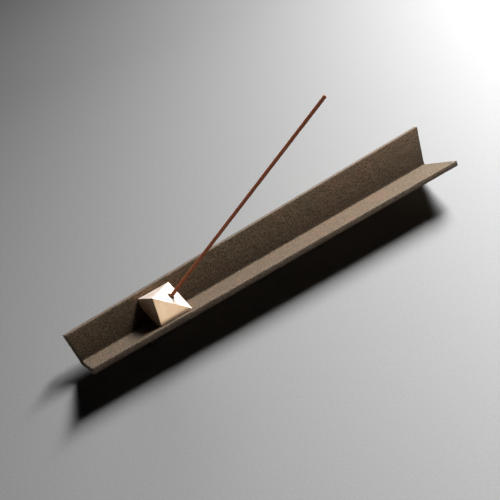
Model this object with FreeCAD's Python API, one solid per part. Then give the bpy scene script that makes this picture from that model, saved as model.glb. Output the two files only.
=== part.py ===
"""Table incense burner: a tapered iron trough on two plate feet, with a
loose brass stick holder that slides along the trough and carries one stick.

Millimetres. +X runs along the trough to its wide end, +Y to the back, +Z up.
The origin lies on the table, under the middle of the trough.
"""
import FreeCAD, Part
import math
import os
from FreeCAD import Vector

# Trough: one iron plate, folded square along its middle, wider at one end
FOLD_LENGTH = 270.0
FOLD_HEIGHT = 9.0
NARROW_WING = 16.2
WIDE_WING = 25.0
WALL = 3.5
END_RAKE = 3.2
FOLD_INNER_RADIUS = 0.8
FOLD_OUTER_RADIUS = FOLD_INNER_RADIUS + WALL
EDGE_ROUND = 0.45

# Feet: two upright cross plates, notched to carry the fold
FOOT_INSET = 40.0
FOOT_THICKNESS = 4.0
FOOT_BASE_WIDTH = 18.0
FOOT_TOP_WIDTH = 14.0
FOOT_CHAMFER = 0.5

# Stick holder: a leaning pyramid, upright on the side of the narrow end
HOLDER_INSET = 41.2
HOLDER_SIDE = 20.6
HOLDER_RISE = 12.7
HOLDER_KEEL = 3.5
HOLDER_EDGE_ROUND = 0.25
SEAT_CLEARANCE = 0.1

# Incense stick and the blind bore that holds it
STICK_LENGTH = 138.0
STICK_DIAMETER = 2.0
STICK_CHAMFER = 0.15
STICK_LEAN = math.radians(36.0)
BORE_DEPTH = 7.0
BORE_CLEARANCE = 0.5
BORE_FLARE = 0.3

# Each wing of the trough rises at half the fold angle
WING_SLOPE = math.radians(45.0)
BACK_WING_UP = Vector(0, math.cos(WING_SLOPE), math.sin(WING_SLOPE))
BACK_WING_OUT = Vector(0, math.sin(WING_SLOPE), -math.cos(WING_SLOPE))
FOLD_START = Vector(-FOLD_LENGTH / 2, 0, FOLD_HEIGHT)
FOLD_END = Vector(FOLD_LENGTH / 2, 0, FOLD_HEIGHT)
OUTER_FOLD_HEIGHT = FOLD_HEIGHT - WALL / math.cos(WING_SLOPE)

# The holder's base edges lie where the trough is as wide as the holder
LIFT = SEAT_CLEARANCE / math.cos(WING_SLOPE)
HOLDER_HALF = HOLDER_SIDE / 2
HOLDER_BASE_HEIGHT = FOLD_HEIGHT + HOLDER_HALF * math.tan(WING_SLOPE) + LIFT
HOLDER_UPRIGHT_X = FOLD_START.x + HOLDER_INSET
HOLDER_TOE_X = HOLDER_UPRIGHT_X + HOLDER_SIDE

# The bore starts at the middle of the holder's long face, nearly square to it
STICK_AXIS = Vector(math.sin(STICK_LEAN), 0, math.cos(STICK_LEAN))
BORE_MOUTH = Vector(HOLDER_TOE_X - HOLDER_SIDE / 3, 0, HOLDER_BASE_HEIGHT + HOLDER_RISE / 3)
BORE_BOTTOM = BORE_MOUTH - STICK_AXIS * BORE_DEPTH
BORE_RADIUS = STICK_DIAMETER / 2 + BORE_CLEARANCE


def closed_face(points):
    """Flat face inside a closed outline."""
    return Part.Face(Part.makePolygon(points + points[:1]))


def low_edges(shape, height):
    """Edges of a shape that lie wholly below a height."""
    return [edge for edge in shape.Edges if edge.BoundBox.ZMax < height]


def fold_edge(shape, height):
    """The one long edge that runs along the fold at a height."""
    middle = Vector(0, 0, height)
    return min(shape.Edges, key=lambda edge: edge.CenterOfMass.distanceToPoint(middle))


def wing_plate():
    """Back wing, drawn flat in its own plane and cut to a mitre at the fold."""

    def on_wing(x, width):
        return Vector(x, 0, FOLD_HEIGHT) + BACK_WING_UP * width

    narrow_lean = END_RAKE / NARROW_WING
    wide_lean = END_RAKE / WIDE_WING
    outline = [
        on_wing(FOLD_START.x + narrow_lean * WALL, -WALL),
        on_wing(FOLD_END.x - wide_lean * WALL, -WALL),
        on_wing(FOLD_END.x + END_RAKE, WIDE_WING),
        on_wing(FOLD_START.x - END_RAKE, NARROW_WING),
    ]
    plate = closed_face(outline).extrude(BACK_WING_OUT * WALL)
    box = plate.BoundBox
    back_half = Part.makeBox(
        box.XLength, box.YLength, box.ZLength, Vector(box.XMin, 0, box.ZMin)
    )
    return plate.common(back_half)


def trough():
    """Both wings as one folded plate, with a rounded fold and eased edges."""
    wing = wing_plate()
    front_wing = wing.mirror(Vector(0, 0, 0), Vector(0, 1, 0))
    folded = wing.fuse(front_wing).removeSplitter()
    folded = folded.makeFillet(FOLD_INNER_RADIUS, [fold_edge(folded, FOLD_HEIGHT)])
    folded = folded.makeFillet(FOLD_OUTER_RADIUS, [fold_edge(folded, OUTER_FOLD_HEIGHT)])
    wing_middle = FOLD_HEIGHT + NARROW_WING * math.sin(WING_SLOPE) / 2
    fold_seams = [edge for edge in low_edges(folded, wing_middle) if edge.Length > FOLD_LENGTH / 2]
    sharp = [edge for edge in folded.Edges if not any(edge.isSame(seam) for seam in fold_seams)]
    return folded.makeFillet(EDGE_ROUND, sharp)


def plate_foot(middle_x):
    """Cross plate that tapers upwards, with a notch for the outside of the fold."""
    base_half = FOOT_BASE_WIDTH / 2
    top_half = FOOT_TOP_WIDTH / 2
    top_height = OUTER_FOLD_HEIGHT + top_half * math.tan(WING_SLOPE)
    start_x = middle_x - FOOT_THICKNESS / 2
    profile = [
        Vector(start_x, -base_half, 0),
        Vector(start_x, base_half, 0),
        Vector(start_x, top_half, top_height),
        Vector(start_x, 0, OUTER_FOLD_HEIGHT),
        Vector(start_x, -top_half, top_height),
    ]
    plate = closed_face(profile).extrude(Vector(FOOT_THICKNESS, 0, 0))
    return plate.makeChamfer(FOOT_CHAMFER, low_edges(plate, FOOT_CHAMFER))


def leaning_pyramid():
    """Square base, with the apex straight above one base edge."""
    low = HOLDER_BASE_HEIGHT
    corners = [
        Vector(HOLDER_UPRIGHT_X, -HOLDER_HALF, low),
        Vector(HOLDER_TOE_X, -HOLDER_HALF, low),
        Vector(HOLDER_TOE_X, HOLDER_HALF, low),
        Vector(HOLDER_UPRIGHT_X, HOLDER_HALF, low),
    ]
    apex = Vector(HOLDER_UPRIGHT_X, 0, low + HOLDER_RISE)
    faces = [closed_face(corners)]
    for start, end in zip(corners, corners[1:] + corners[:1]):
        faces.append(closed_face([start, end, apex]))
    return Part.makeSolid(Part.makeShell(faces))


def holder_keel():
    """Underside that narrows with the trough, so that it seats on both wings."""
    keel_half = HOLDER_HALF - HOLDER_KEEL / math.tan(WING_SLOPE)
    keel_height = HOLDER_BASE_HEIGHT - HOLDER_KEEL
    profile = [
        Vector(HOLDER_UPRIGHT_X, -HOLDER_HALF, HOLDER_BASE_HEIGHT),
        Vector(HOLDER_UPRIGHT_X, HOLDER_HALF, HOLDER_BASE_HEIGHT),
        Vector(HOLDER_UPRIGHT_X, keel_half, keel_height),
        Vector(HOLDER_UPRIGHT_X, -keel_half, keel_height),
    ]
    return closed_face(profile).extrude(Vector(HOLDER_SIDE, 0, 0))


def stick_holder():
    """Brass pyramid with a flared blind bore for the stick."""
    body = leaning_pyramid().fuse(holder_keel()).removeSplitter()
    body = body.makeFillet(HOLDER_EDGE_ROUND, body.Edges)
    bore = Part.makeCylinder(BORE_RADIUS, BORE_DEPTH + BORE_FLARE, BORE_BOTTOM, STICK_AXIS)
    flare_bottom = BORE_MOUTH - STICK_AXIS * BORE_FLARE
    flare = Part.makeCone(BORE_RADIUS, BORE_RADIUS + 2 * BORE_FLARE, 2 * BORE_FLARE, flare_bottom, STICK_AXIS)
    return body.cut(bore).cut(flare)


def incense_stick():
    """Straight pressed stick that stands on the bottom of the bore."""
    foot = BORE_BOTTOM + STICK_AXIS * SEAT_CLEARANCE
    rod = Part.makeCylinder(STICK_DIAMETER / 2, STICK_LENGTH, foot, STICK_AXIS)
    end_edges = [edge for edge in rod.Edges if isinstance(edge.Curve, Part.Circle)]
    return rod.makeChamfer(STICK_CHAMFER, end_edges)


nodes = {
    "trough": trough(),
    "left_foot": plate_foot(FOLD_START.x + FOOT_INSET),
    "right_foot": plate_foot(FOLD_END.x - FOOT_INSET),
    "stick_holder": stick_holder(),
    "incense_stick": incense_stick(),
}

os.makedirs("parts", exist_ok=True)
for name, shape in nodes.items():
    shape.exportStep("parts/" + name + ".step")
    box = shape.BoundBox
    print(name, "valid", shape.isValid(), "solids", len(shape.Solids), "volume", round(shape.Volume, 1))
    print("  x %.2f..%.2f  y %.2f..%.2f  z %.2f..%.2f" % (box.XMin, box.XMax, box.YMin, box.YMax, box.ZMin, box.ZMax))
print("bore mouth", BORE_MOUTH, "stick axis", STICK_AXIS)
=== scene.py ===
# %% [markdown]
# # An incense burner, dressed in Blender
# The burner is a dark iron plate, folded square along its middle and set on two low feet. A loose brass
# pyramid stands in the fold and holds one incense stick over it, so that the ash falls into the trough.
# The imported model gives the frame: every piece below is built in its place, in metres, with +X along the
# trough, +Y to the back and +Z up from the table.

# %% Load the frame
import math
import bmesh
import bpy
from mathutils import Matrix, Vector


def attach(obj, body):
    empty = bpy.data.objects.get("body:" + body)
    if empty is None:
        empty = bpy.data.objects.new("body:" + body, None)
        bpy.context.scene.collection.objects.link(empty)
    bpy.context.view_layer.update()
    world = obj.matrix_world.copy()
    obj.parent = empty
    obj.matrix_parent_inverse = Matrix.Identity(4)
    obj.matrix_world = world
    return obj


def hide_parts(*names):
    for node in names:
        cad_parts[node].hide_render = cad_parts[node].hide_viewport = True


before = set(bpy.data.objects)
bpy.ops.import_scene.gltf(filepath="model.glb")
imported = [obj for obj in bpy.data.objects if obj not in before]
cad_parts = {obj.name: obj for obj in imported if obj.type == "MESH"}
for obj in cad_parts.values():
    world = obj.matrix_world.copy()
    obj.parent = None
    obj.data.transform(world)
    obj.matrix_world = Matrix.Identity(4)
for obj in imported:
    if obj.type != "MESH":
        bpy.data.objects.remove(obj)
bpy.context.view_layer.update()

scene = bpy.context.scene
MM = 0.001

# %% [markdown]
# ## The camera
# A camera could be placed by eye until the picture looks right. Here it stands where the corners of the
# trough, the holder and the tip of the stick fall on their places in the photograph: a short telephoto,
# about half a metre away, above the narrow end and rolled a little. A look-at point and a roll are easier
# to read than three angles, so the turn is worked out from them.

# %% Camera
CAMERA_PLACE = Vector((-0.3015, -0.1969, 0.4194))
CAMERA_TARGET = Vector((-0.0069, 0.0126, 0.0))
CAMERA_ROLL = math.radians(17.32)
FOCAL_LENGTH = 67.8
SENSOR_WIDTH = 36.0
NEAR_CLIP = 0.01


def new_object(name, data):
    """Object at the origin, linked to the scene."""
    thing = bpy.data.objects.new(name, data)
    scene.collection.objects.link(thing)
    return thing


def aimed(place, facing):
    """Where a camera or a lamp stands, and its turn to look along a direction."""
    return Matrix.Translation(place) @ facing.to_track_quat("-Z", "Y").to_matrix().to_4x4()


camera_data = bpy.data.cameras.new("camera")
camera_data.lens = FOCAL_LENGTH
camera_data.sensor_width = SENSOR_WIDTH
camera_data.clip_start = NEAR_CLIP
camera = new_object("camera", camera_data)
sight = CAMERA_TARGET - CAMERA_PLACE
camera.matrix_world = aimed(CAMERA_PLACE, sight) @ Matrix.Rotation(CAMERA_ROLL, 4, "Z")
scene.camera = camera
print("camera is", round(sight.length, 3), "m from its target")

# %% [markdown]
# ## The window
# The photograph's one strong light behaves like a small window: the table brightens towards the far right,
# the shadow runs to the near left, and its edge grows softer the farther the rim stands from it. A sun would
# light the whole table evenly. So the key light is an upright panel, behind the wide end, that looks past
# the burner instead of at it.

# %% Window
WHITE = (1.0, 1.0, 1.0)
WINDOW_PLACE = Vector((0.55, 0.415, 0.655))
WINDOW_FACING = Vector((0.2, -0.98, 0.0))
WINDOW_SIZE = (0.42, 0.48)
WINDOW_POWER = 45.5


def light_panel(name, place, facing, size, power, colour=WHITE):
    """Rectangular lamp, of a width and a height, that shines the way it faces."""
    data = bpy.data.lights.new(name, "AREA")
    data.shape = "RECTANGLE"
    data.size, data.size_y = size
    data.energy = power
    data.color = colour
    lamp = new_object(name, data)
    lamp.matrix_world = aimed(place, facing)
    print("the", name, "lamp has", power, "W")
    return lamp


light_panel("window", WINDOW_PLACE, WINDOW_FACING, WINDOW_SIZE, WINDOW_POWER)
scene.view_settings.view_transform = "Standard"

# %% [markdown]
# ## Small lights
# Four small lamps stand for what the room adds. A warm panel, low at the front, is what the front face of
# the brass reflects. A cool kicker beside the window whitens its upper faces, without bounces, so that it
# leaves no glow on the iron. A cool sky far behind greys the front wing, and a card on the left shows the
# round of the stick. One large soft lamp could do for all four, but each piece needs its own side and colour.

# %% Small lights
WARM = (1.0, 0.88, 0.74)
COOL = (0.55, 0.66, 1.0)
PANEL_PLACE = Vector((0.45, -0.75, 0.20))
PANEL_SIZE = (0.60, 0.36)
PANEL_POWER = 2.6
KICKER_PLACE = Vector((0.60, 0.50, 0.66))
KICKER_SIZE = (0.45, 0.45)
KICKER_POWER = 17.0
SKY_PLACE = Vector((0.90, 0.95, 0.90))
SKY_SIZE = (0.60, 0.60)
SKY_POWER = 10.0
CARD_PLACE = Vector((-0.60, 0.12, 0.42))
CARD_SIZE = (0.30, 0.30)
CARD_POWER = 0.9


def small_light(name, place, size, power, colour=WHITE):
    """Small lamp that looks at the burner."""
    return light_panel(name, place, -place, size, power, colour)


panel = small_light("panel", PANEL_PLACE, PANEL_SIZE, PANEL_POWER, WARM)
kicker = small_light("kicker", KICKER_PLACE, KICKER_SIZE, KICKER_POWER, COOL)
kicker.data.cycles.max_bounces = 0
sky = small_light("sky", SKY_PLACE, SKY_SIZE, SKY_POWER, COOL)
card = small_light("card", CARD_PLACE, CARD_SIZE, CARD_POWER)

# %% [markdown]
# ## Lights for other views
# Behind the window's plane, and far to the left, the table would be black in other views. A brighter world
# would lighten it, but the shadow too. So two lamps that face away from the burner light only those parts.

# %% Far lights
FAR_BACK_PLACE = Vector((0.2, 0.55, 1.5))
FAR_BACK_FACING = Vector((0.0, 1.0, -0.24))
FAR_LEFT_PLACE = Vector((-0.65, 0.1, 1.5))
FAR_LEFT_FACING = Vector((-1.0, 0.0, -0.24))
FAR_SIZE = (1.0, 1.0)
FAR_POWER = 55.0

light_panel("far back", FAR_BACK_PLACE, FAR_BACK_FACING, FAR_SIZE, FAR_POWER)
light_panel("far left", FAR_LEFT_PLACE, FAR_LEFT_FACING, FAR_SIZE, FAR_POWER)

# %% [markdown]
# ## Helpers for node trees
# Materials and geometry are both node trees. They could be wired up by hand, one link a line. A helper that
# adds a node, sets its options and either plugs a socket in or sets a plain value lets a tree read from its
# source to its end.

# %% Node helpers


def set_inputs(tree, node, inputs):
    """Plug sockets into a node's inputs, or set plain values on them."""
    for name, value in inputs.items():
        if isinstance(value, bpy.types.NodeSocket):
            tree.links.new(value, node.inputs[name])
        else:
            node.inputs[name].default_value = value


def add(tree, kind, inputs=None, **options):
    """New node with its options and its inputs set."""
    node = tree.nodes.new(kind)
    for name, value in options.items():
        setattr(node, name, value)
    set_inputs(tree, node, inputs or {})
    return node


def math_node(tree, operation, first, second=0.0):
    """Output of a Math node."""
    return add(tree, "ShaderNodeMath", {0: first, 1: second}, operation=operation).outputs[0]


def map_range(tree, value, target, source=(0.0, 1.0)):
    """A value that runs over a source range, stretched to run over a target range."""
    inputs = {"Value": value}
    inputs["From Min"], inputs["From Max"] = source
    inputs["To Min"], inputs["To Max"] = target
    return add(tree, "ShaderNodeMapRange", inputs).outputs[0]


def noise(tree, place, scale, detail=2.0, roughness=0.5):
    """Value of a cloudy pattern: scale counts its features in one metre."""
    inputs = {"Vector": place, "Scale": scale, "Detail": detail, "Roughness": roughness}
    return add(tree, "ShaderNodeTexNoise", inputs).outputs[0]


# %% [markdown]
# ## The room
# The photograph's room is dim. A bright world would show a pale backdrop, but it would also fill the deep
# shadow under the trough. So the world asks whether a ray comes straight from the camera: to the camera it
# shows the backdrop, and to everything else it gives next to no light.

# %% Backdrop
AMBIENT = 0.003
BACKDROP = 0.35
BACKDROP_COLOUR = (0.95, 0.97, 1.0, 1.0)

world = bpy.data.worlds.new("dim room")
world.use_nodes = True
room = world.node_tree
seen = add(room, "ShaderNodeLightPath").outputs["Is Camera Ray"]
strength = map_range(room, seen, (AMBIENT, BACKDROP))
set_inputs(room, room.nodes["Background"], {"Color": BACKDROP_COLOUR, "Strength": strength})
scene.world = world
print("the backdrop shows", BACKDROP, "and lights with", AMBIENT)

# %% [markdown]
# ## Helpers for materials
# A material starts from the surface shader and the piece's own coordinates, so that a pattern stays on its
# piece when the piece moves. Patterns are then turned into colours by ramps, layered by mixing, and made
# into fine relief.

# %% Material helpers


def new_material(name):
    """Material with its tree, its surface shader and the piece's own coordinates."""
    material = bpy.data.materials.new(name)
    material.use_nodes = True
    tree = material.node_tree
    surface = tree.nodes["Principled BSDF"]
    place = add(tree, "ShaderNodeTexCoord").outputs["Object"]
    return material, tree, surface, place


def ramp(tree, value, *stops):
    """Colours spread along a value, given as (position, colour) stops."""
    node = add(tree, "ShaderNodeValToRGB", {"Fac": value})
    elements = node.color_ramp.elements
    while len(elements) < len(stops):
        elements.new(0.5)
    for element, (position, colour) in zip(elements, stops):
        element.position = position
        element.color = (*colour, 1.0)
    return node.outputs["Color"]


def mix_colour(tree, factor, first, second, blend="MIX"):
    """Output of a colour Mix node, whose colour sockets are known by their places."""
    inputs = {0: factor, 6: first, 7: second}
    return add(tree, "ShaderNodeMix", inputs, data_type="RGBA", blend_type=blend).outputs[2]


def relief(tree, height, depth, strength):
    """Normals of a fine relief: depth is its height in metres."""
    inputs = {"Height": height, "Distance": depth, "Strength": strength}
    return add(tree, "ShaderNodeBump", inputs).outputs["Normal"]


# %% [markdown]
# ## The table
# The table isn't part of the object. A studio floor could curve up behind it, but one wide flat sheet is
# enough here. It is pale grey and matt, so that it shows the light's fall and the soft shadow and no mirror
# image.

# %% Table
TABLE_SIDE = 6.0
TABLE_FLECKS = 900.0
TABLE_STOPS = ((0.3, (0.40, 0.40, 0.40)), (0.7, (0.44, 0.44, 0.44)))
TABLE_ROUGHNESS = 0.95
TABLE_SPECULAR = 0.1


def table_material():
    material, tree, surface, place = new_material("pale matt table")
    set_inputs(tree, surface, {
        "Base Color": ramp(tree, noise(tree, place, TABLE_FLECKS), *TABLE_STOPS),
        "Roughness": TABLE_ROUGHNESS,
        "Specular IOR Level": TABLE_SPECULAR,
    })
    return material


half = TABLE_SIDE / 2
table_corners = [(-half, -half, 0.0), (half, -half, 0.0), (half, half, 0.0), (-half, half, 0.0)]
table_mesh = bpy.data.meshes.new("table")
table_mesh.from_pydata(table_corners, [], [(0, 1, 2, 3)])
table_mesh.materials.append(table_material())
table = new_object("table", table_mesh)
print("the table is", TABLE_SIDE, "m square")

# %% [markdown]
# ## Wear and painted shade on the iron
# Free edges are rubbed paler. The fold is painted darker, as painted shade, and the back wing is painted
# lighter towards its rim, as painted light. Painting these by hand would need a picture. Here the trough
# carries two numbers on each point as attributes: its distance to the nearest edge, and how far it lies from
# the fold to the rim, from 0 to 1 on the back wing and from 0 to -1 on the front wing. A piece without the
# attributes has neither wear nor painted shade.

# %% Iron wear and painted shade
EDGE_GAP = "edge_gap"
WORN_WIDTH = 0.8 * MM
WORN_GRAIN = (0.35, 0.65)
WORN_SHARES = (0.05, 0.5)
WING_SHARE = "wing_share"
# Painted shade: multipliers that darken the fold and paint the back wing lighter towards its rim.
NO_PAINTED_SHADE = (1.0, 1.0, 1.0)
FOLD_PAINTED_SHADE = (0.41, 0.40, 0.37)
BACK_WING_PAINTED_LIGHT = (1.36, 1.36, 1.34)
PAINTED_SHADE_STOPS = ((0.475, NO_PAINTED_SHADE), (0.505, FOLD_PAINTED_SHADE), (0.98, BACK_WING_PAINTED_LIGHT), (1.0, NO_PAINTED_SHADE))


def carried(tree, attribute):
    """Value of an attribute, and whether the piece carries it."""
    outputs = add(tree, "ShaderNodeAttribute", attribute_name=attribute).outputs
    return outputs["Fac"], math_node(tree, "GREATER_THAN", outputs["Alpha"], 0.0)


def worn_edges(tree, grain):
    """How far the skin is rubbed off: only on the free edges, and most on the crests."""
    gap, on_trough = carried(tree, EDGE_GAP)
    near = map_range(tree, gap, (1.0, 0.0), (0.0, WORN_WIDTH))
    rubbed = map_range(tree, grain, WORN_SHARES, WORN_GRAIN)
    return math_node(tree, "MULTIPLY", math_node(tree, "MULTIPLY", near, on_trough), rubbed)


def fold_painted_shade(tree):
    """Painted shade across the trough: darkest in the fold, and lighter than the plain iron up the back wing.
    """
    share, on_trough = carried(tree, WING_SHARE)
    across = map_range(tree, share, (0.0, 1.0), (-1.0, 1.0))
    return mix_colour(tree, on_trough, (*NO_PAINTED_SHADE, 1.0), ramp(tree, across, *PAINTED_SHADE_STOPS))


print("edges are worn over", round(WORN_WIDTH / MM, 2), "mm, and the fold has a shade of", FOLD_PAINTED_SHADE)

# %% [markdown]
# ## Iron with a sand-cast skin
# The trough is dull and dark, brown more than black, with a grain like coarse sand. A picture of rust could
# be wrapped round it, but patterns in the piece's own coordinates need no picture and show no seam. Four of
# them make the iron: wide patches of warmer and cooler brown, blotches of rust a few millimetres across, a
# grain of about a millimetre that lightens the crests, and fine specks of dust. The grain also drives
# roughness and relief, so that light catches the same crests that the colour shows. A little sheen stands
# for the dust that pales the iron where it is seen at a slant.

# %% Iron material
IRON_PATCHES = 40.0
IRON_BLOTCHES = 210.0
IRON_GRAIN = 900.0
IRON_SPECKS = 2600.0
OXIDE_STOPS = ((0.35, (0.149, 0.112, 0.072)), (0.50, (0.161, 0.115, 0.074)), (0.66, (0.174, 0.117, 0.077)))
RUST_STOPS = ((0.38, (0.93, 0.95, 0.87)), (0.50, (1.00, 0.98, 0.92)), (0.64, (1.08, 0.99, 0.93)))
CREST_STOPS = ((0.36, (0.50, 0.48, 0.46)), (0.51, (0.96, 0.96, 0.96)), (0.67, (1.55, 1.52, 1.48)))
DUST_START = 0.68
DUST_SHARE = 0.25
DUST_COLOUR = (0.30, 0.24, 0.19, 1.0)
WORN_COLOUR = (0.22, 0.175, 0.135, 1.0)
IRON_ROUGHNESS = (0.95, 0.70)
IRON_SPECULAR = 0.25
IRON_SHEEN = 0.06
SHEEN_TINT = (1.0, 0.92, 0.86, 1.0)
SPECK_HEIGHT = 0.4
IRON_RELIEF = 0.30 * MM
IRON_RELIEF_STRENGTH = 0.6


def iron_material():
    material, tree, surface, place = new_material("sand-cast iron")
    patches = noise(tree, place, IRON_PATCHES, detail=4.0, roughness=0.6)
    blotches = noise(tree, place, IRON_BLOTCHES)
    grain = noise(tree, place, IRON_GRAIN, detail=3.0, roughness=0.65)
    specks = noise(tree, place, IRON_SPECKS, detail=1.0)
    colour = ramp(tree, patches, *OXIDE_STOPS)
    rust = ramp(tree, blotches, *RUST_STOPS)
    crests = ramp(tree, grain, *CREST_STOPS)
    # The last layer is painted shade: darker in the fold, and painted lighter up the back wing.
    for layer in (rust, crests, fold_painted_shade(tree)):
        colour = mix_colour(tree, 1.0, colour, layer, "MULTIPLY")
    dust = math_node(tree, "MULTIPLY", math_node(tree, "GREATER_THAN", specks, DUST_START), DUST_SHARE)
    colour = mix_colour(tree, dust, colour, DUST_COLOUR)
    colour = mix_colour(tree, worn_edges(tree, grain), colour, WORN_COLOUR)
    height = math_node(tree, "ADD", grain, math_node(tree, "MULTIPLY", specks, SPECK_HEIGHT))
    set_inputs(tree, surface, {
        "Base Color": colour,
        "Roughness": map_range(tree, grain, IRON_ROUGHNESS),
        "Specular IOR Level": IRON_SPECULAR,
        "Sheen Weight": IRON_SHEEN,
        "Sheen Tint": SHEEN_TINT,
        "Normal": relief(tree, height, IRON_RELIEF, IRON_RELIEF_STRENGTH),
    })
    return material


iron = iron_material()
print("iron has", len(iron.node_tree.nodes), "nodes")

# %% [markdown]
# ## Helpers for geometry trees
# A geometry tree begins with named inputs for its sizes and ends in real, smooth geometry with a material,
# because an export drops instances. What lies between is the rule of the piece.

# %% Geometry helpers


def geometry_tree(name, *inputs):
    """Empty geometry tree with named inputs, each given as (name, kind of socket)."""
    tree = bpy.data.node_groups.new(name, "GeometryNodeTree")
    tree.interface.new_socket("Geometry", in_out="INPUT", socket_type="NodeSocketGeometry")
    for label, kind in inputs:
        tree.interface.new_socket(label, in_out="INPUT", socket_type="NodeSocket" + kind)
    tree.interface.new_socket("Geometry", in_out="OUTPUT", socket_type="NodeSocketGeometry")
    return tree, add(tree, "NodeGroupInput").outputs


def store(tree, geometry, name, value):
    """Geometry that carries a number on each of its points, under a name."""
    inputs = {"Geometry": geometry, "Name": name, "Value": value}
    options = {"data_type": "FLOAT", "domain": "POINT"}
    return add(tree, "GeometryNodeStoreNamedAttribute", inputs, **options).outputs[0]


def end_tree(tree, geometry, material):
    """Realised, smooth geometry with its material, as the tree's output."""
    solid = add(tree, "GeometryNodeRealizeInstances", {"Geometry": geometry}).outputs[0]
    smooth = add(tree, "GeometryNodeSetShadeSmooth", {"Geometry": solid}).outputs[0]
    painted = add(tree, "GeometryNodeSetMaterial", {"Geometry": smooth, "Material": material}).outputs[0]
    add(tree, "NodeGroupOutput", {"Geometry": painted})


# %% [markdown]
# ## Folding the plate with Geometry Nodes
# The plate could be modelled flat and bent with a modifier. A fold is a rule, though: each point of a flat
# grid keeps its distance from the fold line and rises at half a right angle. So a node tree takes a grid and
# moves its points by that rule, with the length, the two widths and the rake of the ends as named inputs.
# The columns gather towards the fold, where the surface turns.

# %% Folding tree
FOLD_LENGTH = 270.0 * MM
FOLD_HEIGHT = 9.0 * MM
NARROW_WING = 16.2 * MM
WIDE_WING = 25.0 * MM
WING_SLOPE = math.radians(45.0)
WALL = 3.5 * MM
END_RAKE = 3.2 * MM
FOLD_SOFTNESS = 0.47 * MM
PLATE_ROWS = 200
PLATE_COLUMNS = 41
COLUMN_GATHER = 1.6


def folding_tree():
    tree, given = geometry_tree(
        "Folded plate", ("Length", "Float"), ("Narrow Wing", "Float"), ("Wide Wing", "Float"),
        ("Rake", "Float"), ("Height", "Float"), ("Softness", "Float"),
        ("Rows", "Int"), ("Columns", "Int"), ("Material", "Material"),
    )

    def calc(operation, first, second=0.0):
        return math_node(tree, operation, first, second)

    grid = add(tree, "GeometryNodeMeshGrid", {
        "Size X": 1.0, "Size Y": 2.0, "Vertices X": given["Rows"], "Vertices Y": given["Columns"],
    }).outputs["Mesh"]
    position = add(tree, "GeometryNodeInputPosition").outputs[0]
    flat = add(tree, "ShaderNodeSeparateXYZ", {0: position}).outputs
    along = flat["X"]
    side = calc("SIGN", flat["Y"])
    reach = calc("POWER", calc("ABSOLUTE", flat["Y"]), COLUMN_GATHER)
    width = map_range(tree, calc("ADD", along, 0.5), (given["Narrow Wing"], given["Wide Wing"]))
    distance = calc("MULTIPLY", reach, width)
    overhang = calc("MULTIPLY", reach, calc("MULTIPLY", given["Rake"], 2.0))
    squares = calc("ADD", calc("POWER", distance, 2.0), calc("POWER", given["Softness"], 2.0))
    rise = calc("MULTIPLY", calc("SQRT", squares), math.sin(WING_SLOPE))
    folded = add(tree, "ShaderNodeCombineXYZ", {
        "X": calc("MULTIPLY", along, calc("ADD", given["Length"], overhang)),
        "Y": calc("MULTIPLY", calc("MULTIPLY", side, distance), math.cos(WING_SLOPE)),
        "Z": calc("ADD", rise, given["Height"]),
    }).outputs[0]
    to_rim = calc("SUBTRACT", width, distance)
    to_end = calc("MULTIPLY", calc("SUBTRACT", 0.5, calc("ABSOLUTE", along)), given["Length"])
    marked = store(tree, grid, EDGE_GAP, calc("MINIMUM", to_rim, to_end))
    marked = store(tree, marked, WING_SHARE, calc("MULTIPLY", side, reach))
    moved = add(tree, "GeometryNodeSetPosition", {"Geometry": marked, "Position": folded}).outputs[0]
    end_tree(tree, moved, given["Material"])
    return tree


fold = folding_tree()
print("folding tree has", len(fold.nodes), "nodes")

# %% [markdown]
# ## A skin of sand grains
# A casting keeps the print of its sand. Relief in the material alone would leave the edges ruler-straight, so
# a second tree divides a finished shape and sinks its points along their normals by a cloud pattern, only
# ever inwards, so that the piece stays inside its true size. The wider swell of the pattern makes edges
# waver a little, as on a casting that was dressed by hand.

# %% Skin tree
GRAIN_SIZE = 1.5 * MM
GRAIN_DEPTH = 0.06 * MM
SWELL_SIZE = 7.0 * MM
SWELL_DEPTH = 0.12 * MM
PIT_RANGE = (0.3, 0.7)


def sink(tree, geometry, depth):
    """Geometry whose points are moved inwards along their normals."""
    normal = add(tree, "GeometryNodeInputNormal").outputs[0]
    inwards = math_node(tree, "MULTIPLY", depth, -1.0)
    offset = add(tree, "ShaderNodeVectorMath", {0: normal, "Scale": inwards}, operation="SCALE").outputs[0]
    return add(tree, "GeometryNodeSetPosition", {"Geometry": geometry, "Offset": offset}).outputs[0]


def skin_tree():
    tree, given = geometry_tree(
        "Sand-cast skin", ("Grain Size", "Float"), ("Grain Depth", "Float"), ("Swell Size", "Float"),
        ("Swell Depth", "Float"), ("Divisions", "Int"), ("Material", "Material"),
    )
    inputs = {"Mesh": given["Geometry"], "Level": given["Divisions"]}
    fine = add(tree, "GeometryNodeSubdivideMesh", inputs).outputs[0]
    place = add(tree, "GeometryNodeInputPosition").outputs[0]
    depths = []
    for size, depth in (("Grain Size", "Grain Depth"), ("Swell Size", "Swell Depth")):
        pattern = noise(tree, place, math_node(tree, "DIVIDE", 1.0, given[size]))
        pits = map_range(tree, pattern, (0.0, 1.0), PIT_RANGE)
        depths.append(math_node(tree, "MULTIPLY", pits, given[depth]))
    end_tree(tree, sink(tree, fine, math_node(tree, "ADD", *depths)), given["Material"])
    return tree


skin = skin_tree()
print("skin tree has", len(skin.nodes), "nodes")

# %% [markdown]
# ## Turning modifiers into plain meshes
# A modifier's inputs are set by their identifiers, before the object is first evaluated. Then the evaluated
# mesh replaces the start mesh and the modifiers go, so that what is handed on is a plain mesh at the origin.

# %% Piece helpers
EDGE_ANGLE = math.radians(40.0)


def in_mm(point):
    """A point's coordinates in millimetres, rounded for printing."""
    return [round(c / MM, 2) for c in point]


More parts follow.
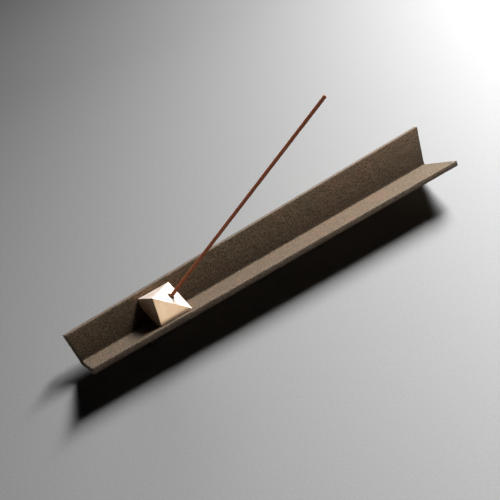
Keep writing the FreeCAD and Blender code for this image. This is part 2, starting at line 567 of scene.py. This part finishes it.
def new_piece(name):
    """Piece with an empty mesh, to be filled."""
    return new_object(name, bpy.data.meshes.new(name))


def add_tree(piece, tree, values):
    """Geometry Nodes modifier with its named inputs set."""
    modifier = piece.modifiers.new(tree.name, "NODES")
    modifier.node_group = tree
    for item in tree.interface.items_tree:
        if item.in_out == "INPUT" and item.name in values:
            modifier[item.identifier] = values[item.name]


def add_skin(piece, material, divisions):
    """Sand-cast grain on a finished shape."""
    add_tree(piece, skin, {
        "Grain Size": GRAIN_SIZE, "Grain Depth": GRAIN_DEPTH,
        "Swell Size": SWELL_SIZE, "Swell Depth": SWELL_DEPTH,
        "Divisions": divisions, "Material": material,
    })


def add_bevel(piece, width, segments, angle=EDGE_ANGLE):
    """Rounded edges wherever two faces meet at more than an angle."""
    bevel = piece.modifiers.new("edges", "BEVEL")
    bevel.width = width
    bevel.segments = segments
    bevel.limit_method = "ANGLE"
    bevel.angle_limit = angle


def settle(piece):
    """Replace a piece's mesh by what its modifiers make of it."""
    depsgraph = bpy.context.evaluated_depsgraph_get()
    mesh = bpy.data.meshes.new_from_object(piece.evaluated_get(depsgraph))
    piece.modifiers.clear()
    piece.data = mesh
    mesh.name = piece.name
    mesh.calc_loop_triangles()
    low = [min(v.co[axis] for v in mesh.vertices) for axis in range(3)]
    high = [max(v.co[axis] for v in mesh.vertices) for axis in range(3)]
    print(piece.name, len(mesh.loop_triangles), "triangles, mm", in_mm(low), in_mm(high))


def hand_over(piece, body, node):
    """Tell the frame which body carries a piece and which solid it stands for."""
    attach(piece, body)
    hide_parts(node)


# %% [markdown]
# ## The trough
# The trough is the folded sheet with a wall. The wall could be built in the tree too, but Solidify gives it
# in one step, outwards, so that the inside keeps its measured width. A Bevel rounds the rims and the raked
# ends, and the skin goes on last, over the finished edges.

# %% Trough
EDGE_ROUND = 0.45 * MM
EDGE_SEGMENTS = 3
TROUGH_DIVISIONS = 1

trough = new_piece("iron_trough")
add_tree(trough, fold, {
    "Length": FOLD_LENGTH, "Narrow Wing": NARROW_WING, "Wide Wing": WIDE_WING, "Rake": END_RAKE,
    "Height": FOLD_HEIGHT, "Softness": FOLD_SOFTNESS, "Rows": PLATE_ROWS, "Columns": PLATE_COLUMNS,
    "Material": iron,
})
wall = trough.modifiers.new("wall", "SOLIDIFY")
wall.thickness = WALL
wall.offset = -1.0
add_bevel(trough, EDGE_ROUND, EDGE_SEGMENTS)
add_skin(trough, iron, TROUGH_DIVISIONS)
settle(trough)
hand_over(trough, "trough", "trough")

# %% [markdown]
# ## The feet
# Two upright cross plates carry the fold. A cube could be cut to their shape, but a flat outline, notched to
# the outside of the fold, says it in six points. It is pulled out to its thickness and given the same skin.
# The outline is two four-sided halves, because a notched face would turn some of its parts over when the
# skin divides it.

# %% Feet
FOOT_INSET = 40.0 * MM
FOOT_THICKNESS = 4.0 * MM
FOOT_BASE_WIDTH = 18.0 * MM
FOOT_TOP_WIDTH = 14.0 * MM
FOOT_ROUND = 0.4 * MM
FOOT_SEGMENTS = 2
FOOT_DIVISIONS = 4
OUTER_FOLD_HEIGHT = FOLD_HEIGHT - WALL / math.cos(WING_SLOPE)


def piece_from(shape, name):
    """Piece made of a bmesh, with its faces turned outwards."""
    bmesh.ops.recalc_face_normals(shape, faces=shape.faces)
    piece = new_piece(name)
    shape.to_mesh(piece.data)
    shape.free()
    return piece


def prism(name, points, faces, start_x, depth):
    """Piece with a flat outline in the YZ plane, pulled along X."""
    shape = bmesh.new()
    corners = [shape.verts.new((start_x, y, z)) for y, z in points]
    outline = [shape.faces.new([corners[index] for index in face]) for face in faces]
    pulled = bmesh.ops.extrude_face_region(shape, geom=outline)["geom"]
    moved = [item for item in pulled if isinstance(item, bmesh.types.BMVert)]
    bmesh.ops.translate(shape, verts=moved, vec=(depth, 0.0, 0.0))
    return piece_from(shape, name)


def plate_foot(name, node, middle_x):
    base = FOOT_BASE_WIDTH / 2
    top = FOOT_TOP_WIDTH / 2
    top_height = OUTER_FOLD_HEIGHT + top * math.tan(WING_SLOPE)
    points = [
        (-base, 0.0), (0.0, 0.0), (base, 0.0),
        (top, top_height), (0.0, OUTER_FOLD_HEIGHT), (-top, top_height),
    ]
    halves = [(0, 1, 4, 5), (1, 2, 3, 4)]
    foot = prism(name, points, halves, middle_x - FOOT_THICKNESS / 2, FOOT_THICKNESS)
    add_bevel(foot, FOOT_ROUND, FOOT_SEGMENTS)
    add_skin(foot, iron, FOOT_DIVISIONS)
    settle(foot)
    hand_over(foot, "trough", node)


plate_foot("narrow_end_foot", "left_foot", FOOT_INSET - FOLD_LENGTH / 2)
plate_foot("wide_end_foot", "right_foot", FOLD_LENGTH / 2 - FOOT_INSET)

# %% [markdown]
# ## Where the holder stands
# The holder's base edges lie where the trough is as wide as the holder, so its height follows from the fold.
# The stick's line starts at the middle of the long face, and both the brass and the incense need to know it.

# %% Holder sizes
HOLDER_INSET = 41.2 * MM
HOLDER_SIDE = 20.6 * MM
HOLDER_RISE = 12.7 * MM
HOLDER_KEEL = 3.5 * MM
SEAT_CLEARANCE = 0.1 * MM
STICK_LEAN = math.radians(36.0)
BORE_DEPTH = 7.0 * MM
BORE_RADIUS = 1.5 * MM
BORE_FLARE = 0.3 * MM

upright_x = HOLDER_INSET - FOLD_LENGTH / 2
toe_x = upright_x + HOLDER_SIDE
base_half = HOLDER_SIDE / 2
base_height = FOLD_HEIGHT + base_half * math.tan(WING_SLOPE) + SEAT_CLEARANCE / math.cos(WING_SLOPE)
stick_axis = Vector((math.sin(STICK_LEAN), 0.0, math.cos(STICK_LEAN)))
bore_mouth = Vector((toe_x - HOLDER_SIDE / 3, 0.0, base_height + HOLDER_RISE / 3))
print("bore mouth, mm", in_mm(bore_mouth), "axis", [round(c, 3) for c in stick_axis])

# %% [markdown]
# ## Satin brass
# The holder is pale, finely ground brass. Long thin streaks, stretched along the trough, stand for the marks
# of the abrasive, and a slow cloud warms the metal where hands have dulled it. The bore is painted dark, as
# painted shade in the hole. It could be a second material on the faces of the bore, but it also reaches a
# little way out of the mouth. So it follows a point's distance from the stick's line, which is the length of
# a cross product.

# %% Brass material
BRUSH_LINES = 2600.0
BRUSH_STRETCH = 0.06
BRUSH_RELIEF = 0.03 * MM
BRUSH_STRENGTH = 0.5
TARNISH_PATCHES = 130.0
BRASS_STOPS = ((0.32, (0.84, 0.63, 0.43)), (0.56, (0.93, 0.74, 0.54)), (0.74, (0.96, 0.82, 0.64)))
BRASS_METALLIC = 0.6
BRASS_ROUGHNESS = (0.42, 0.60)
# Painted shade in the bore: a near-black colour where the hole lies.
BORE_SHADE_COLOUR = (0.040, 0.028, 0.022, 1.0)
BORE_SHADE_INNER = BORE_RADIUS + 0.2 * MM
BORE_SHADE_OUTER = BORE_RADIUS + 0.9 * MM
BORE_SHADE_DEPTH = 1.1 * BORE_DEPTH


def vector_node(tree, operation, first, second=(0.0, 0.0, 0.0)):
    """Outputs of a Vector Math node."""
    return add(tree, "ShaderNodeVectorMath", {0: first, 1: second}, operation=operation).outputs


def bore_painted_shade(tree, place):
    """Share of painted shade: one in the bore, fading to nothing just outside its mouth."""
    from_mouth = vector_node(tree, "SUBTRACT", place, bore_mouth)["Vector"]
    sideways = vector_node(tree, "CROSS_PRODUCT", from_mouth, stick_axis)["Vector"]
    distance = vector_node(tree, "LENGTH", sideways)["Value"]
    near = map_range(tree, distance, (1.0, 0.0), (BORE_SHADE_INNER, BORE_SHADE_OUTER))
    height = vector_node(tree, "DOT_PRODUCT", from_mouth, stick_axis)["Value"]
    above_bottom = math_node(tree, "GREATER_THAN", height, -BORE_SHADE_DEPTH)
    return math_node(tree, "MULTIPLY", near, above_bottom)


def brass_material():
    material, tree, surface, place = new_material("satin brass")
    stretch = {"Vector": place, "Scale": (BRUSH_STRETCH, 1.0, 1.0)}
    stretched = add(tree, "ShaderNodeMapping", stretch).outputs[0]
    lines = noise(tree, stretched, BRUSH_LINES, detail=3.0, roughness=0.6)
    patches = noise(tree, place, TARNISH_PATCHES, detail=3.0, roughness=0.55)
    metal = ramp(tree, patches, *BRASS_STOPS)
    set_inputs(tree, surface, {
        # The bore and its mouth are painted dark, as painted shade.
        "Base Color": mix_colour(tree, bore_painted_shade(tree, place), metal, BORE_SHADE_COLOUR),
        "Metallic": BRASS_METALLIC,
        "Roughness": map_range(tree, lines, BRASS_ROUGHNESS),
        "Normal": relief(tree, lines, BRUSH_RELIEF, BRUSH_STRENGTH),
    })
    return material


brass = brass_material()
print("brass has", len(brass.node_tree.nodes), "nodes")

# %% [markdown]
# ## The stick holder
# A pyramid is a cone with four sides, but this one leans: its apex stands over one base edge, so its points
# are written out. Below the base edges it narrows with the trough and seats on both wings. A fine bevel
# breaks the edges.

# %% Holder body
HOLDER_EDGE = 0.25 * MM
HOLDER_SEGMENTS = 3
HOLDER_EDGE_ANGLE = math.radians(20.0)


def leaning_pyramid(name):
    keel_half = base_half - HOLDER_KEEL / math.tan(WING_SLOPE)
    keel_height = base_height - HOLDER_KEEL
    shape = bmesh.new()
    rings = []
    for half_width, height in ((keel_half, keel_height), (base_half, base_height)):
        corners = (
            (upright_x, -half_width), (toe_x, -half_width),
            (toe_x, half_width), (upright_x, half_width),
        )
        rings.append([shape.verts.new((x, y, height)) for x, y in corners])
    keel, base = rings
    apex = shape.verts.new((upright_x, 0.0, base_height + HOLDER_RISE))
    shape.faces.new(reversed(keel))
    for start in range(3):
        shape.faces.new((keel[start], keel[start + 1], base[start + 1], base[start]))
        shape.faces.new((base[start], base[start + 1], apex))
    shape.faces.new((keel[3], keel[0], base[0], apex, base[3]))
    return piece_from(shape, name)


holder = leaning_pyramid("brass_holder")
holder.data.materials.append(brass)
add_bevel(holder, HOLDER_EDGE, HOLDER_SEGMENTS, HOLDER_EDGE_ANGLE)
print("the holder starts with", len(holder.data.polygons), "faces")

# %% [markdown]
# ## The bore
# The stick stands in a blind bore with a flared mouth, nearly square to the long face. A drilled hole is what
# a Boolean modifier is for: a round cutter, turned on the stick's line, is taken away from the brass. The cut
# leaves long thin faces, so the normals are weighted by area afterwards, and the flats stay flat.

# %% Bore
BORE_SIDES = 48
HOLDER_SHARP_ANGLE = math.radians(35.0)


def lathe(name, axis, rings, sides):
    """Closed round shape: rings are (point on the axis, radius)."""
    turn = axis.to_track_quat("Z", "Y").to_matrix()
    angles = [2.0 * math.pi * step / sides for step in range(sides)]
    shape = bmesh.new()
    loops = []
    for point, radius in rings:
        spokes = [turn @ Vector((radius * math.cos(a), radius * math.sin(a), 0.0)) for a in angles]
        loops.append([shape.verts.new(point + spoke) for spoke in spokes])
    for low, high in zip(loops, loops[1:]):
        for step in range(sides):
            after = (step + 1) % sides
            shape.faces.new((low[step], low[after], high[after], high[step]))
    shape.faces.new(reversed(loops[0]))
    shape.faces.new(loops[-1])
    return piece_from(shape, name)


cutter = lathe("bore_cutter", stick_axis, [
    (bore_mouth - stick_axis * BORE_DEPTH, BORE_RADIUS),
    (bore_mouth - stick_axis * BORE_FLARE, BORE_RADIUS),
    (bore_mouth + stick_axis * BORE_FLARE, BORE_RADIUS + 2 * BORE_FLARE),
], BORE_SIDES)
bore = holder.modifiers.new("bore", "BOOLEAN")
bore.object = cutter
bore.operation = "DIFFERENCE"
bore.solver = "EXACT"
settle(holder)
bpy.data.objects.remove(cutter)
holder.data.shade_smooth()
holder.data.set_sharp_from_angle(angle=HOLDER_SHARP_ANGLE)
even = holder.modifiers.new("even", "WEIGHTED_NORMAL")
even.keep_sharp = True
settle(holder)
hand_over(holder, "holder", "stick_holder")

# %% [markdown]
# ## Pressed incense
# A stick of incense is powder and gum, pushed through a round die. It is a dull red-brown with paler flecks
# and short furrows along its length. The furrows are too fine to model, so they are a cloud pattern that is
# stretched along the stick. Its coordinates are first turned back, as if the stick stood upright.

# %% Incense material
FURROWS = 1800.0
FURROW_STRETCH = 0.12
FURROW_RELIEF = 0.10 * MM
FURROW_STRENGTH = 0.6
FLECKS = 1600.0
INCENSE_STOPS = ((0.30, (0.34, 0.098, 0.044)), (0.52, (0.46, 0.140, 0.064)), (0.72, (0.58, 0.225, 0.120)))
INCENSE_ROUGHNESS = (0.75, 0.95)
INCENSE_SPECULAR = 0.25


def incense_material():
    material, tree, surface, place = new_material("pressed incense")
    back = stick_axis.to_track_quat("Z", "Y").inverted().to_euler()
    upright = add(tree, "ShaderNodeMapping", {"Vector": place, "Rotation": back}).outputs[0]
    stretch = {"Vector": upright, "Scale": (1.0, 1.0, FURROW_STRETCH)}
    stretched = add(tree, "ShaderNodeMapping", stretch).outputs[0]
    furrows = noise(tree, stretched, FURROWS, detail=3.0, roughness=0.6)
    flecks = noise(tree, place, FLECKS, roughness=0.6)
    set_inputs(tree, surface, {
        "Base Color": ramp(tree, flecks, *INCENSE_STOPS),
        "Roughness": map_range(tree, furrows, INCENSE_ROUGHNESS),
        "Specular IOR Level": INCENSE_SPECULAR,
        "Normal": relief(tree, furrows, FURROW_RELIEF, FURROW_STRENGTH),
    })
    return material


incense = incense_material()
print("incense has", len(incense.node_tree.nodes), "nodes")

# %% [markdown]
# ## The stick
# The stick follows a straight line out of the bore. A cylinder would be too perfect, so a tree runs a circle
# along that line, a little smaller at both ends, and the same kind of cloud as on the iron makes its side
# uneven.

# %% Stick
STICK_LENGTH = 138.0 * MM
STICK_RADIUS = 1.0 * MM
STICK_RINGS = 240
STICK_SIDES = 24
STICK_END_SHARE = 0.85
STICK_UNEVENNESS = 0.06 * MM
STICK_CLOUD = 700.0
STICK_SHARP_ANGLE = math.radians(50.0)


def stick_tree():
    tree, given = geometry_tree(
        "Pressed stick", ("Start", "Vector"), ("End", "Vector"), ("Radius", "Float"),
        ("Rings", "Int"), ("Sides", "Int"), ("Unevenness", "Float"),
        ("End Share", "Float"), ("Material", "Material"),
    )
    ends = {"Start": given["Start"], "End": given["End"]}
    line = add(tree, "GeometryNodeCurvePrimitiveLine", ends).outputs[0]
    path = add(tree, "GeometryNodeResampleCurve", {"Curve": line, "Count": given["Rings"]}).outputs[0]
    section = {"Radius": given["Radius"], "Resolution": given["Sides"]}
    circle = add(tree, "GeometryNodeCurvePrimitiveCircle", section).outputs[0]
    at_end = add(tree, "GeometryNodeCurveEndpointSelection").outputs[0]
    shares = {"Switch": at_end, "False": 1.0, "True": given["End Share"]}
    taper = add(tree, "GeometryNodeSwitch", shares, input_type="FLOAT").outputs[0]
    tube = add(tree, "GeometryNodeCurveToMesh", {
        "Curve": path, "Profile Curve": circle, "Scale": taper, "Fill Caps": True,
    }).outputs[0]
    place = add(tree, "GeometryNodeInputPosition").outputs[0]
    dents = math_node(tree, "MULTIPLY", noise(tree, place, STICK_CLOUD), given["Unevenness"])
    end_tree(tree, sink(tree, tube, dents), given["Material"])
    return tree


stick_start = bore_mouth - stick_axis * (BORE_DEPTH - SEAT_CLEARANCE)
stick = new_piece("incense")
add_tree(stick, stick_tree(), {
    "Start": stick_start, "End": stick_start + stick_axis * STICK_LENGTH, "Radius": STICK_RADIUS,
    "Rings": STICK_RINGS, "Sides": STICK_SIDES, "Unevenness": STICK_UNEVENNESS,
    "End Share": STICK_END_SHARE, "Material": incense,
})
settle(stick)
stick.data.set_sharp_from_angle(angle=STICK_SHARP_ANGLE)
hand_over(stick, "stick", "incense_stick")

# %% [markdown]
# ## Flagging the small lights
# A studio would hold the small lights off the table with flags, so that the shadow stays deep. Light linking
# does the same: a collection names what a light may reach, and everything else is left to the window.

# %% Light linking


def light_only(lamp, piece):
    """Keep a lamp's light to one piece."""
    lit = bpy.data.collections.new("lit by the " + lamp.name)
    lit.objects.link(piece)
    lamp.light_linking.receiver_collection = lit
    print("the", lamp.name, "lights the", piece.name)


light_only(panel, holder)
light_only(kicker, holder)
light_only(sky, trough)
light_only(card, stick)
